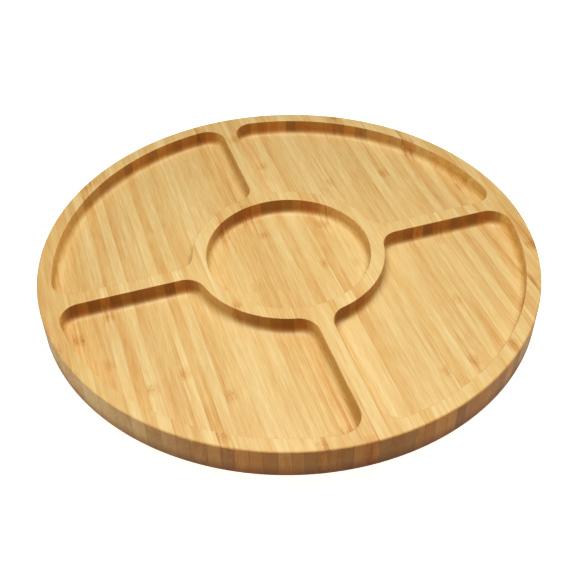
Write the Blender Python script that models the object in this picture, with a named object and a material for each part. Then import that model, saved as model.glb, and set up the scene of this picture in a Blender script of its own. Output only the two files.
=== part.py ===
"""Lazy susan turntable: a divided round bamboo tray that spins on a ball-bearing swivel.

Metres, +Z up. The origin is on the spin axis, on the surface that the feet stand on. The straight ribs of
the tray lie along X and Y, and the bamboo strips run along Y.
"""

import math

import bmesh
import bpy
from mathutils import Matrix, Vector

FIT_GAP = 0.0003

# Tray board
TRAY_RADIUS = 0.175
TRAY_THICKNESS = 0.023
TRAY_TOP_EDGE = 0.0008
TRAY_BOTTOM_EDGE = 0.0015
WELL_DEPTH = 0.012
WELL_FLOOR_FILLET = 0.005
RIM_WIDTH = 0.010
RING_OUTER_RADIUS = 0.068
RING_WIDTH = 0.010
RIB_WIDTH = 0.011
PLAN_CORNER_RADIUS = 0.014

# Base disc
BASE_RADIUS = 0.110
BASE_THICKNESS = 0.010
BASE_EDGE = 0.002
ACCESS_HOLE_RADIUS = 0.010

# Swivel bearing: two pressed square plates with a caged ring of balls between them
BEARING_HEIGHT = 0.008
PLATE_SIDE = 0.102
PLATE_CORNER_RADIUS = 0.008
SHEET = 0.001
SCREW_SPACING = 0.0889
PLATE_HOLE_RADIUS = 0.0023
BALL_COUNT = 16
BALL_RADIUS = 0.00238
BALL_CIRCLE_RADIUS = 0.040
RACE_RISE = 0.0007
RACE_HALF_WIDTH = 0.0035
RACE_FLANK = 0.002
HUB_RADIUS = 0.0295
COLLAR_RADIUS = 0.0325
HUB_RISE = 0.0046
COLLAR_DROP = 0.0033
ROLLED_RIM = 0.0021
CAGE_WIDTH = 0.0094
CAGE_THICKNESS = 0.0016

# Screws and feet
PLATE_SCREW_HEAD_RADIUS = 0.0034
PLATE_SCREW_HEAD_HEIGHT = 0.0018
PLATE_SCREW_SHANK_RADIUS = 0.0018
TRAY_SCREW_LENGTH = 0.0096
BASE_SCREW_LENGTH = 0.0086
FOOT_HEIGHT = 0.004
FOOT_TOP_RADIUS = 0.008
FOOT_TREAD_RADIUS = 0.0066
FOOT_CIRCLE_RADIUS = 0.092
FOOT_SEAT_RADIUS = 0.0040
FOOT_SEAT_HEIGHT = 0.0020
FOOT_BORE_RADIUS = 0.0019
FOOT_SCREW_HEAD_RADIUS = 0.0032
FOOT_SCREW_HEAD_HEIGHT = 0.0012
FOOT_SCREW_SHANK_RADIUS = 0.0015
FOOT_SCREW_LENGTH = 0.0090
FOOT_EDGE = 0.0006
HEAD_CROWN_SHARE = 0.55
HEAD_SHOULDER_SHARE = 0.88
TIP_LENGTH = 0.0020
TIP_RADIUS = 0.0003
PILOT_DEPTH_PAST_TIP = 0.0005

# Facets round each kind of piece, and steps along each arc
TRAY_FACETS = 96
CENTRE_WELL_FACETS = 64
BASE_FACETS = 72
PLATE_FACETS = 48
ACCESS_HOLE_FACETS = 32
FOOT_FACETS = 20
SCREW_FACETS = 16
POCKET_FACETS = 12
EDGE_STEPS = 2
FILLET_STEPS = 4
PLAN_CORNER_STEPS = 6
RIM_ARC_STEPS = 18
RING_ARC_STEPS = 8

BASE_BOTTOM = FOOT_HEIGHT
BASE_TOP = BASE_BOTTOM + BASE_THICKNESS
TRAY_BOTTOM = BASE_TOP + BEARING_HEIGHT
TRAY_TOP = TRAY_BOTTOM + TRAY_THICKNESS
WELL_FLOOR = TRAY_TOP - WELL_DEPTH
WELL_OUTER_RADIUS = TRAY_RADIUS - RIM_WIDTH
CENTRE_WELL_RADIUS = RING_OUTER_RADIUS - RING_WIDTH
LOWER_SHEET_MIDDLE = BASE_TOP + FIT_GAP + SHEET / 2
UPPER_SHEET_MIDDLE = TRAY_BOTTOM - FIT_GAP - SHEET / 2
BALL_HEIGHT = (LOWER_SHEET_MIDDLE + UPPER_SHEET_MIDDLE) / 2
SCREW_CIRCLE_RADIUS = SCREW_SPACING / math.sqrt(2)
QUARTER = math.pi / 2
CUT_MARGIN = 0.001

BAMBOO = ((0.76, 0.52, 0.26), 0.48, 0.0)
BASE_BAMBOO = ((0.68, 0.45, 0.22), 0.55, 0.0)
PLATED_STEEL = ((0.62, 0.63, 0.64), 0.34, 1.0)
POLISHED_STEEL = ((0.78, 0.78, 0.79), 0.12, 1.0)
SCREW_STEEL = ((0.55, 0.54, 0.50), 0.30, 1.0)
NATURAL_NYLON = ((0.83, 0.82, 0.77), 0.45, 0.0)
BLACK_RUBBER = ((0.03, 0.03, 0.03), 0.80, 0.0)


def clear_scene():
    for old in list(bpy.data.objects):
        bpy.data.objects.remove(old)


def make_material(name, finish):
    colour, roughness, metallic = finish
    material = bpy.data.materials.new(name)
    material.use_nodes = True
    shader = material.node_tree.nodes["Principled BSDF"]
    shader.inputs["Base Color"].default_value = (*colour, 1.0)
    shader.inputs["Roughness"].default_value = roughness
    shader.inputs["Metallic"].default_value = metallic
    material.diffuse_color = (*colour, 1.0)
    return material


def make_axis(name):
    """An empty on the spin axis, which the pieces that turn together are parented to."""
    axis = bpy.data.objects.new(name, None)
    bpy.context.scene.collection.objects.link(axis)
    return axis


def make_object(name, mesh, material=None, parent=None):
    piece = bpy.data.objects.new(name, mesh)
    bpy.context.scene.collection.objects.link(piece)
    piece.parent = parent
    if material:
        mesh.materials.append(material)
        mesh.shade_smooth()
        mesh.set_sharp_from_angle(angle=math.radians(30))
    return piece


def make_cutter(name, shells):
    """A hidden solid, or several apart from each other, that a Boolean takes away."""
    cutter = make_object(name, mesh_of_shells(name, shells))
    cutter.hide_render = True
    cutter.display_type = "WIRE"
    return cutter


def cut(piece, cutter):
    difference = piece.modifiers.new(cutter.name, "BOOLEAN")
    difference.operation = "DIFFERENCE"
    difference.solver = "EXACT"
    difference.object = cutter


def circle(radius, height, facets, centre=(0.0, 0.0)):
    """A level ring of points, counter-clockwise from above."""
    points = []
    for step in range(facets):
        angle = math.tau * step / facets
        points.append(
            Vector((centre[0] + radius * math.cos(angle), centre[1] + radius * math.sin(angle), height))
        )
    return points


def rounded_square(half_side, corner_radius, height, facets):
    """A level ring on a square with round corners, with its points at the same angles as circle's."""
    corner = half_side - corner_radius
    corner_distance = corner * math.sqrt(2)
    points = []
    for step in range(facets):
        angle = math.tau * step / facets
        off_side = abs((angle + math.pi / 4) % QUARTER - math.pi / 4)
        reach = half_side / math.cos(off_side)
        if reach * math.sin(off_side) > corner:
            off_corner = math.pi / 4 - off_side
            along = corner_distance * math.cos(off_corner)
            across = corner_distance * math.sin(off_corner)
            reach = along + math.sqrt(corner_radius**2 - across**2)
        points.append(Vector((reach * math.cos(angle), reach * math.sin(angle), height)))
    return points


def skin_shell(shape, rings, holed=False):
    """Skins rings of equal counts, listed up the outside, and then down the hole if there is one."""
    loops = [[shape.verts.new(point) for point in ring] for ring in rings]
    pairs = list(zip(loops, loops[1:]))
    if holed:
        pairs.append((loops[-1], loops[0]))
    else:
        shape.faces.new(reversed(loops[0]))
        shape.faces.new(loops[-1])
    for lower, upper in pairs:
        for step in range(len(lower)):
            after = (step + 1) % len(lower)
            shape.faces.new((lower[step], lower[after], upper[after], upper[step]))


def mesh_of_shells(name, shells, holed=False):
    shape = bmesh.new()
    for rings in shells:
        skin_shell(shape, rings, holed)
    mesh = bpy.data.meshes.new(name)
    shape.to_mesh(mesh)
    shape.free()
    return mesh


def turned_rings(profile, facets, centre=(0.0, 0.0)):
    """A ring for each (radius, height) of a turned profile."""
    return [circle(radius, height, facets, centre) for radius, height in profile]


def quarter_round(radius, height, edge, towards_top):
    """Profile points round an outer edge, from bottom to top."""
    points = []
    for step in range(EDGE_STEPS + 1):
        angle = QUARTER * step / EDGE_STEPS
        if towards_top:
            points.append(
                (radius - edge + edge * math.cos(angle), height - edge + edge * math.sin(angle))
            )
        else:
            points.append(
                (radius - edge + edge * math.sin(angle), height + edge - edge * math.cos(angle))
            )
    return points


def arc(centre, radius, start, end, steps):
    """Plan points on an arc, both ends included."""
    points = []
    for step in range(steps + 1):
        angle = start + (end - start) * step / steps
        points.append(centre + radius * Vector((math.cos(angle), math.sin(angle))))
    return points


def sector_outline(inset, height, turns):
    """The ring of a sector well's wall, moved inwards by inset and turned by that many quarters."""
    corner = PLAN_CORNER_RADIUS
    offset = RIB_WIDTH / 2 + corner
    far_angle = math.asin(offset / (WELL_OUTER_RADIUS - corner))
    near_angle = math.asin(offset / (RING_OUTER_RADIUS + corner))
    far = Vector((offset / math.tan(far_angle), offset))
    near = Vector((offset / math.tan(near_angle), offset))
    axis = Vector((0.0, 0.0))
    fillet = corner - inset
    rim, ring = WELL_OUTER_RADIUS - inset, RING_OUTER_RADIUS + inset
    plan = arc(far, fillet, -QUARTER, far_angle, PLAN_CORNER_STEPS)[:-1]
    plan += arc(axis, rim, far_angle, QUARTER - far_angle, RIM_ARC_STEPS)[:-1]
    plan += arc(far.yx, fillet, QUARTER - far_angle, math.pi, PLAN_CORNER_STEPS)
    plan += arc(near.yx, fillet, math.pi, 3 * QUARTER - near_angle, PLAN_CORNER_STEPS)[:-1]
    plan += arc(axis, ring, QUARTER - near_angle, near_angle, RING_ARC_STEPS)[:-1]
    plan += arc(near, fillet, math.pi + near_angle, 3 * QUARTER, PLAN_CORNER_STEPS)
    turn = Matrix.Rotation(turns * QUARTER, 3, "Z")
    return [turn @ Vector((point.x, point.y, height)) for point in plan]


def floor_fillet():
    """(inset, height) up the fillet from a well's floor to its wall, and on past the tray's top."""
    places = []
    for step in range(FILLET_STEPS + 1):
        angle = QUARTER * step / FILLET_STEPS
        inset = WELL_FLOOR_FILLET * (1 - math.sin(angle))
        places.append((inset, WELL_FLOOR + WELL_FLOOR_FILLET * (1 - math.cos(angle))))
    places.append((0.0, TRAY_TOP + CUT_MARGIN))
    return places


def circle_places(radius, turn=0.0):
    """Four plan points a quarter turn apart."""
    places = []
    for quarter in range(4):
        angle = turn + quarter * QUARTER
        places.append((radius * math.cos(angle), radius * math.sin(angle)))
    return places


def hole_shells(radius, bottom, top, places, facets=SCREW_FACETS):
    return [turned_rings([(radius, bottom), (radius, top)], facets, place) for place in places]


def build_tray(material, parent):
    profile = quarter_round(TRAY_RADIUS, TRAY_BOTTOM, TRAY_BOTTOM_EDGE, towards_top=False)
    profile += quarter_round(TRAY_RADIUS, TRAY_TOP, TRAY_TOP_EDGE, towards_top=True)
    mesh = mesh_of_shells("tray_board", [turned_rings(profile, TRAY_FACETS)])
    tray = make_object("tray_board", mesh, material, parent)
    fillet = floor_fillet()
    well = [circle(CENTRE_WELL_RADIUS - inset, height, CENTRE_WELL_FACETS) for inset, height in fillet]
    cut(tray, make_cutter("centre_well_cutter", [well]))
    for quarter in range(4):
        well = [sector_outline(inset, height, quarter) for inset, height in fillet]
        cut(tray, make_cutter(f"sector_well_cutter_{quarter + 1}", [well]))
    pilots = hole_shells(
        PLATE_SCREW_SHANK_RADIUS + FIT_GAP,
        TRAY_BOTTOM - CUT_MARGIN,
        UPPER_SHEET_MIDDLE - SHEET / 2 - FIT_GAP + TRAY_SCREW_LENGTH + PILOT_DEPTH_PAST_TIP,
        circle_places(SCREW_CIRCLE_RADIUS),
    )
    cut(tray, make_cutter("tray_pilot_cutter", pilots))


def build_base(material):
    profile = quarter_round(BASE_RADIUS, BASE_BOTTOM, BASE_EDGE, towards_top=False)
    profile += quarter_round(BASE_RADIUS, BASE_TOP, BASE_EDGE, towards_top=True)
    mesh = mesh_of_shells("base_disc", [turned_rings(profile, BASE_FACETS)])
    base = make_object("base_disc", mesh, material)
    plate_pilots = hole_shells(
        PLATE_SCREW_SHANK_RADIUS + FIT_GAP,
        LOWER_SHEET_MIDDLE + SHEET / 2 + FIT_GAP - BASE_SCREW_LENGTH - PILOT_DEPTH_PAST_TIP,
        BASE_TOP + CUT_MARGIN,
        circle_places(SCREW_CIRCLE_RADIUS, math.pi / 4),
    )
    foot_pilots = hole_shells(
        FOOT_SCREW_SHANK_RADIUS + FIT_GAP,
        BASE_BOTTOM - CUT_MARGIN,
        FOOT_SEAT_HEIGHT - FIT_GAP + FOOT_SCREW_LENGTH + PILOT_DEPTH_PAST_TIP,
        circle_places(FOOT_CIRCLE_RADIUS, math.pi / 4),
    )
    access = hole_shells(
        ACCESS_HOLE_RADIUS,
        BASE_BOTTOM - CUT_MARGIN,
        BASE_TOP + CUT_MARGIN,
        [(SCREW_CIRCLE_RADIUS, 0.0)],
        ACCESS_HOLE_FACETS,
    )
    cut(base, make_cutter("base_pilot_cutter", plate_pilots + foot_pilots))
    cut(base, make_cutter("access_hole_cutter", access))


def sheet_sides(path):
    """Both faces of a pressed sheet whose middle runs along path, as two lists of (radius, height)."""
    left, right = [], []
    for index, (radius, height) in enumerate(path):
        before = path[max(index - 1, 0)]
        after = path[min(index + 1, len(path) - 1)]
        arriving = Vector((radius - before[0], height - before[1]))
        leaving = Vector((after[0] - radius, after[1] - height))
        if index == 0:
            arriving = leaving
        if index == len(path) - 1:
            leaving = arriving
        normals = [Vector((-run.y, run.x)).normalized() for run in (arriving, leaving)]
        mitre = (normals[0] + normals[1]).normalized()
        mitre *= SHEET / 2 / mitre.dot(normals[0])
        left.append((radius + mitre.x, height + mitre.y))
        right.append((radius - mitre.x, height - mitre.y))
    return left, right


def plate_path(middle, way):
    """The middle of a plate's flange and its V-shaped race, which rises towards the other plate."""
    crest = middle + way * RACE_RISE
    return [
        (PLATE_SIDE / 2, middle),
        (BALL_CIRCLE_RADIUS + RACE_HALF_WIDTH + RACE_FLANK, middle),
        (BALL_CIRCLE_RADIUS + RACE_HALF_WIDTH, crest),
        (BALL_CIRCLE_RADIUS, middle),
        (BALL_CIRCLE_RADIUS - RACE_HALF_WIDTH, crest),
        (BALL_CIRCLE_RADIUS - RACE_HALF_WIDTH - RACE_FLANK, middle),
    ]


def plate_rings(path, turn):
    """Rings up the outside of a plate, over one face and back under the other."""
    below, above = sheet_sides(path)
    rings = []
    for index, (radius, height) in enumerate(reversed(below)):
        is_outline = index == len(below) - 1
        rings.append(plate_ring(radius, height, is_outline, turn))
    for index, (radius, height) in enumerate(above):
        rings.append(plate_ring(radius, height, index == 0, turn))
    return rings


def plate_ring(radius, height, is_outline, turn):
    if not is_outline:
        return circle(radius, height, PLATE_FACETS)
    ring = rounded_square(radius, PLATE_CORNER_RADIUS, height, PLATE_FACETS)
    rotation = Matrix.Rotation(turn, 3, "Z")
    shift = round(turn / math.tau * PLATE_FACETS)
    turned = [rotation @ point for point in ring]
    return turned[-shift:] + turned[:-shift] if shift else turned


def build_plates(material, tray_axis):
    lower = plate_path(LOWER_SHEET_MIDDLE, 1)
    lower += [
        (HUB_RADIUS, LOWER_SHEET_MIDDLE),
        (HUB_RADIUS, LOWER_SHEET_MIDDLE + HUB_RISE),
        (HUB_RADIUS + ROLLED_RIM, LOWER_SHEET_MIDDLE + HUB_RISE),
    ]
    upper = plate_path(UPPER_SHEET_MIDDLE, -1)
    upper += [
        (COLLAR_RADIUS, UPPER_SHEET_MIDDLE),
        (COLLAR_RADIUS, UPPER_SHEET_MIDDLE - COLLAR_DROP),
        (COLLAR_RADIUS - ROLLED_RIM, UPPER_SHEET_MIDDLE - COLLAR_DROP),
    ]
    plates = (
        ("bearing_lower_plate", lower, 0.0, LOWER_SHEET_MIDDLE, None),
        ("bearing_upper_plate", upper, math.pi / 4, UPPER_SHEET_MIDDLE, tray_axis),
    )
    for name, path, turn, middle, parent in plates:
        mesh = mesh_of_shells(name, [plate_rings(path, turn)], holed=True)
        plate = make_object(name, mesh, material, parent)
        places = circle_places(SCREW_CIRCLE_RADIUS, turn + math.pi / 4)
        holes = hole_shells(PLATE_HOLE_RADIUS, middle - SHEET, middle + SHEET, places)
        cut(plate, make_cutter(f"{name}_hole_cutter", holes))


def build_cage_and_balls(nylon, steel, cage_axis):
    inner = BALL_CIRCLE_RADIUS - CAGE_WIDTH / 2
    outer = BALL_CIRCLE_RADIUS + CAGE_WIDTH / 2
    bottom = BALL_HEIGHT - CAGE_THICKNESS / 2
    top = BALL_HEIGHT + CAGE_THICKNESS / 2
    rings = turned_rings([(outer, bottom), (outer, top), (inner, top), (inner, bottom)], PLATE_FACETS)
    cage = make_object("ball_cage", mesh_of_shells("ball_cage", [rings], holed=True), nylon, cage_axis)
    places = []
    for number in range(BALL_COUNT):
        angle = math.tau * (number + 0.5) / BALL_COUNT
        places.append((BALL_CIRCLE_RADIUS * math.cos(angle), BALL_CIRCLE_RADIUS * math.sin(angle)))
    pockets = hole_shells(
        BALL_RADIUS + FIT_GAP, bottom - CUT_MARGIN, top + CUT_MARGIN, places, POCKET_FACETS
    )
    cut(cage, make_cutter("ball_pocket_cutter", pockets))
    for number, place in enumerate(places, start=1):
        shape = bmesh.new()
        bmesh.ops.create_icosphere(shape, subdivisions=2, radius=BALL_RADIUS)
        mesh = bpy.data.meshes.new(f"ball_{number:02d}")
        shape.to_mesh(mesh)
        shape.free()
        ball = make_object(f"ball_{number:02d}", mesh, steel, cage_axis)
        ball.location = (*place, BALL_HEIGHT)


def screw_profile(head_radius, head_height, shank_radius, length):
    """A pan-head screw that stands on its head, with the head's seat at height 0."""
    return [
        (head_radius * HEAD_CROWN_SHARE, -head_height),
        (head_radius * HEAD_SHOULDER_SHARE, -head_height * HEAD_SHOULDER_SHARE),
        (head_radius, -head_height / 3),
        (head_radius, 0.0),
        (shank_radius, 0.0),
        (shank_radius, length - TIP_LENGTH),
        (TIP_RADIUS, length),
    ]


def build_screws(name, profile, seat_height, places, material, parent=None, head_up=False):
    for number, place in enumerate(places, start=1):
        mesh = mesh_of_shells(f"{name}_{number}", [turned_rings(profile, SCREW_FACETS)])
        screw = make_object(f"{name}_{number}", mesh, material, parent)
        screw.location = (*place, seat_height)
        if head_up:
            screw.rotation_euler = (math.pi, 0.0, 0.0)


def build_plate_screws(material, tray_axis):
    head = (PLATE_SCREW_HEAD_RADIUS, PLATE_SCREW_HEAD_HEIGHT, PLATE_SCREW_SHANK_RADIUS)
    build_screws(
        "tray_screw",
        screw_profile(*head, TRAY_SCREW_LENGTH),
        UPPER_SHEET_MIDDLE - SHEET / 2 - FIT_GAP,
        circle_places(SCREW_CIRCLE_RADIUS),
        material,
        parent=tray_axis,
    )
    build_screws(
        "base_screw",
        screw_profile(*head, BASE_SCREW_LENGTH),
        LOWER_SHEET_MIDDLE + SHEET / 2 + FIT_GAP,
        circle_places(SCREW_CIRCLE_RADIUS, math.pi / 4),
        material,
        head_up=True,
    )


def build_feet(rubber, steel):
    top = FOOT_HEIGHT - FIT_GAP
    profile = [
        (FOOT_TREAD_RADIUS, 0.0),
        (FOOT_TREAD_RADIUS + FOOT_EDGE, FOOT_EDGE),
        (FOOT_TOP_RADIUS, top - FOOT_EDGE),
        (FOOT_TOP_RADIUS - FOOT_EDGE, top),
        (FOOT_BORE_RADIUS, top),
        (FOOT_BORE_RADIUS, FOOT_SEAT_HEIGHT),
        (FOOT_SEAT_RADIUS, FOOT_SEAT_HEIGHT),
        (FOOT_SEAT_RADIUS, 0.0),
    ]
    places = circle_places(FOOT_CIRCLE_RADIUS, math.pi / 4)
    for number, place in enumerate(places, start=1):
        rings = turned_rings(profile, FOOT_FACETS)
        foot = make_object(f"foot_{number}", mesh_of_shells(f"foot_{number}", [rings], holed=True), rubber)
        foot.location = (*place, 0.0)
    head = (FOOT_SCREW_HEAD_RADIUS, FOOT_SCREW_HEAD_HEIGHT, FOOT_SCREW_SHANK_RADIUS)
    build_screws(
        "foot_screw", screw_profile(*head, FOOT_SCREW_LENGTH), FOOT_SEAT_HEIGHT - FIT_GAP, places, steel
    )


def build():
    clear_scene()
    tray_axis = make_axis("tray_axis")
    cage_axis = make_axis("cage_axis")
    screw_steel = make_material("screw_steel", SCREW_STEEL)
    build_tray(make_material("bamboo_tray", BAMBOO), tray_axis)
    build_base(make_material("bamboo_base", BASE_BAMBOO))
    build_plates(make_material("plated_steel", PLATED_STEEL), tray_axis)
    build_cage_and_balls(
        make_material("natural_nylon", NATURAL_NYLON),
        make_material("polished_steel", POLISHED_STEEL),
        cage_axis,
    )
    build_plate_screws(screw_steel, tray_axis)
    build_feet(make_material("black_rubber", BLACK_RUBBER), screw_steel)


build()
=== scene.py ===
import math

import bmesh
import bpy
from mathutils import Matrix, Vector


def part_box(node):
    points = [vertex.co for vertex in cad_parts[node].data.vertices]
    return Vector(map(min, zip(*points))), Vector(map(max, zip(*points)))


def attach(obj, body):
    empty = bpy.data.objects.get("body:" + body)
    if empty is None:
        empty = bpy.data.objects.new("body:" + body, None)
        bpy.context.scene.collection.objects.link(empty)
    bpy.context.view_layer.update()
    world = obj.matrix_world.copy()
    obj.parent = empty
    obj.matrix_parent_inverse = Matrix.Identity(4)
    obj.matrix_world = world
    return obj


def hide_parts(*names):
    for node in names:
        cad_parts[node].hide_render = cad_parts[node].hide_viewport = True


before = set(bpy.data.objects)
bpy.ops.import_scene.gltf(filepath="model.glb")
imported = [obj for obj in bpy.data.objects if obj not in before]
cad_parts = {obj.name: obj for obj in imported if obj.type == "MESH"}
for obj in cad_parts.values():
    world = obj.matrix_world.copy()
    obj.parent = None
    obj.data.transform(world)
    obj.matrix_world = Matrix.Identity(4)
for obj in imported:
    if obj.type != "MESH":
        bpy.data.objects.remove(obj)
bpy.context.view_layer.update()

quarterTurn = math.pi / 2
samePlace = 1e-6  # metres: what lies closer than this counts as level, or as one point
trayScrews, baseScrews, footScrews, feet = (
    [f"{title}_{number}" for number in range(1, 5)]
    for title in ("tray_screw", "base_screw", "foot_screw", "foot")
)
print("frame loaded:", len(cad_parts), "CAD nodes")


# small helpers for modelling in edit mode

def startPrimitive(adder, name, **sizes):
    # everything else is deselected first, so that the operators touch only this piece
    bpy.ops.object.select_all(action="DESELECT")
    adder(**sizes)
    piece = bpy.context.active_object
    piece.name = name
    piece.data.name = name
    bpy.ops.object.mode_set(mode="EDIT")
    bpy.ops.mesh.select_all(action="SELECT")
    return piece


def pick(piece, kind, wanted):
    # selects the faces or edges that pass a test of their place or normal
    cage = bmesh.from_edit_mesh(piece.data)
    for vert in cage.verts:
        vert.select_set(False)
    cage.select_flush(False)
    for part in getattr(cage, kind):
        if wanted(part):
            part.select_set(True)
    bmesh.update_edit_mesh(piece.data)


def isLevelAt(height):
    def isLevel(face):
        return abs(face.normal.z) > 0.999 and abs(face.calc_center_median().z - height) < samePlace

    return isLevel


def edgeLiesAt(height):
    return lambda edge: all(abs(vert.co.z - height) < samePlace for vert in edge.verts)


def turnUp(piece):
    # a face made from an outline may look either way: wells are sunk from one that looks up
    for face in bmesh.from_edit_mesh(piece.data).faces:
        if face.normal.z < 0:
            bpy.ops.mesh.flip_normals()
            break


def insetDown(inward, down):
    # one step of a rounded edge: the picked face shrinks evenly and drops
    bpy.ops.mesh.inset(thickness=inward, depth=-down, use_even_offset=True)


def onlySelect(pieces):
    if bpy.context.mode != "OBJECT":
        bpy.ops.object.mode_set(mode="OBJECT")
    bpy.ops.object.select_all(action="DESELECT")
    for piece in pieces:
        piece.select_set(True)
    bpy.context.view_layer.objects.active = pieces[0]


def fillLevel(piece, height):
    # closes a level face between the open loops at one height, round the holes in it
    liesThere = edgeLiesAt(height)
    pick(piece, "edges", lambda edge: (edge.is_boundary or edge.is_wire) and liesThere(edge))
    bpy.ops.mesh.fill(use_beauty=True)


def closeUp():
    bpy.ops.mesh.select_all(action="SELECT")
    bpy.ops.mesh.remove_doubles(threshold=samePlace)
    bpy.ops.mesh.normals_make_consistent(inside=False)


def bordersFlat(edge):
    levels = [abs(face.normal.z) > 0.9999 for face in edge.link_faces]
    return any(levels) and not all(levels)


def finishPiece(piece, angle=35):
    onlySelect([piece])
    bpy.ops.object.transform_apply(location=True, rotation=True, scale=True)
    bpy.ops.object.mode_set(mode="EDIT")
    pick(piece, "edges", bordersFlat)
    bpy.ops.mesh.mark_sharp()
    bpy.ops.object.mode_set(mode="OBJECT")
    bpy.ops.object.shade_smooth_by_angle(angle=math.radians(angle))
    return piece


def applyModifier(piece, kind, **settings):
    onlySelect([piece])
    bpy.ops.object.modifier_add(type=kind)
    modifier = piece.modifiers[-1]
    for name, value in settings.items():
        setattr(modifier, name, value)
    bpy.ops.object.modifier_apply(modifier=modifier.name)


def softenEdges(piece, width):
    # a narrow rounding wherever two faces meet at more than this angle
    sharpAngle = math.radians(60)
    applyModifier(piece, "BEVEL", width=width, segments=2, limit_method="ANGLE", angle_limit=sharpAngle)


def roundCorners(points, closed=False, steps=4):
    # points are (radius, height, corner radius): each corner becomes a short arc
    path = []
    for index, (radius, height, corner) in enumerate(points):
        here = Vector((radius, height))
        if corner == 0 or (not closed and index in (0, len(points) - 1)):
            path.append(here)
            continue
        back = (Vector(points[index - 1][:2]) - here).normalized()
        ahead = (Vector(points[(index + 1) % len(points)][:2]) - here).normalized()
        half = back.angle(ahead) / 2
        centre = here + (back + ahead).normalized() * corner / math.sin(half)
        start = here + back * corner / math.tan(half) - centre
        end = here + ahead * corner / math.tan(half) - centre
        for step in range(steps + 1):
            path.append(centre + start.lerp(end, step / steps).normalized() * corner)
    return path


def turnProfile(name, path, facets, centre=(0, 0), closed=False):
    # a vertex is drawn along the profile, and the profile is spun round the upright axis at centre
    piece = startPrimitive(bpy.ops.mesh.primitive_plane_add, name, size=0.001)
    bpy.ops.mesh.merge(type="CENTER")
    bpy.ops.transform.translate(value=(centre[0] + path[0][0], centre[1], path[0][1]))
    stops = list(path) + ([path[0]] if closed else [])
    for before, after in zip(stops, stops[1:]):
        move = (after[0] - before[0], 0, after[1] - before[1])
        bpy.ops.mesh.extrude_region_move(TRANSFORM_OT_translate={"value": move})
    bpy.ops.mesh.select_all(action="SELECT")
    bpy.ops.mesh.spin(steps=facets, angle=-math.tau, center=(*centre, 0), axis=(0, 0, 1))
    closeUp()
    bpy.ops.object.mode_set(mode="OBJECT")
    return piece


def drawCircle(name, place, radius, height, facets):
    # a bare loop of edges, with the face filled in later
    circle = startPrimitive(
        bpy.ops.mesh.primitive_circle_add,
        name,
        vertices=facets,
        radius=radius,
        location=(place[0], place[1], height),
    )
    bpy.ops.object.mode_set(mode="OBJECT")
    return circle


def middleOf(node):
    low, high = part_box(node)
    return (low + high) / 2


def copyPiece(model, name, move):
    onlySelect([model])
    bpy.ops.object.duplicate()
    copied = bpy.context.active_object
    copied.name = name
    copied.data.name = name
    bpy.ops.transform.translate(value=move)
    bpy.ops.object.transform_apply(location=True, rotation=True, scale=True)
    return copied


def makeSet(model, title, nodes, body, material):
    # the model stands at the first node's place, and a copy of it at each of the others
    first = middleOf(nodes[0])
    for index, node in enumerate(nodes[1:], start=2):
        copied = copyPiece(model, f"{title}{index}", middleOf(node) - first)
        standFor(copied, node, body, material)
    standFor(model, nodes[0], body, material)


def openDrilling(name, place, radius, low, high, openEnds, facets=24):
    # the wall of a drilled hole, with its floor left in unless that end is open
    length = high - low
    hole = startPrimitive(
        bpy.ops.mesh.primitive_cylinder_add,
        name,
        vertices=facets,
        radius=radius,
        depth=length,
        location=(place[0], place[1], low + length / 2),
    )
    for end in openEnds:
        pick(hole, "faces", isLevelAt(end * length / 2))
        bpy.ops.mesh.delete(type="ONLY_FACE")
    bpy.ops.object.mode_set(mode="OBJECT")
    return hole


def joinPieces(pieces):
    onlySelect(pieces)
    bpy.ops.object.join()
    bpy.ops.object.transform_apply(location=True, rotation=True, scale=True)
    bpy.ops.object.mode_set(mode="EDIT")


def standFor(piece, node, body, material):
    # the piece takes the CAD node's place, on its body and in its material slot
    piece.data.materials.clear()
    piece.data.materials.append(material)
    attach(piece, body)
    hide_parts(node)


# small helpers for materials

def newMaterial(name):
    material = bpy.data.materials.new(name)
    material.use_nodes = True
    nodes, links = material.node_tree.nodes, material.node_tree.links
    return material, nodes, links, nodes["Principled BSDF"]


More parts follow.
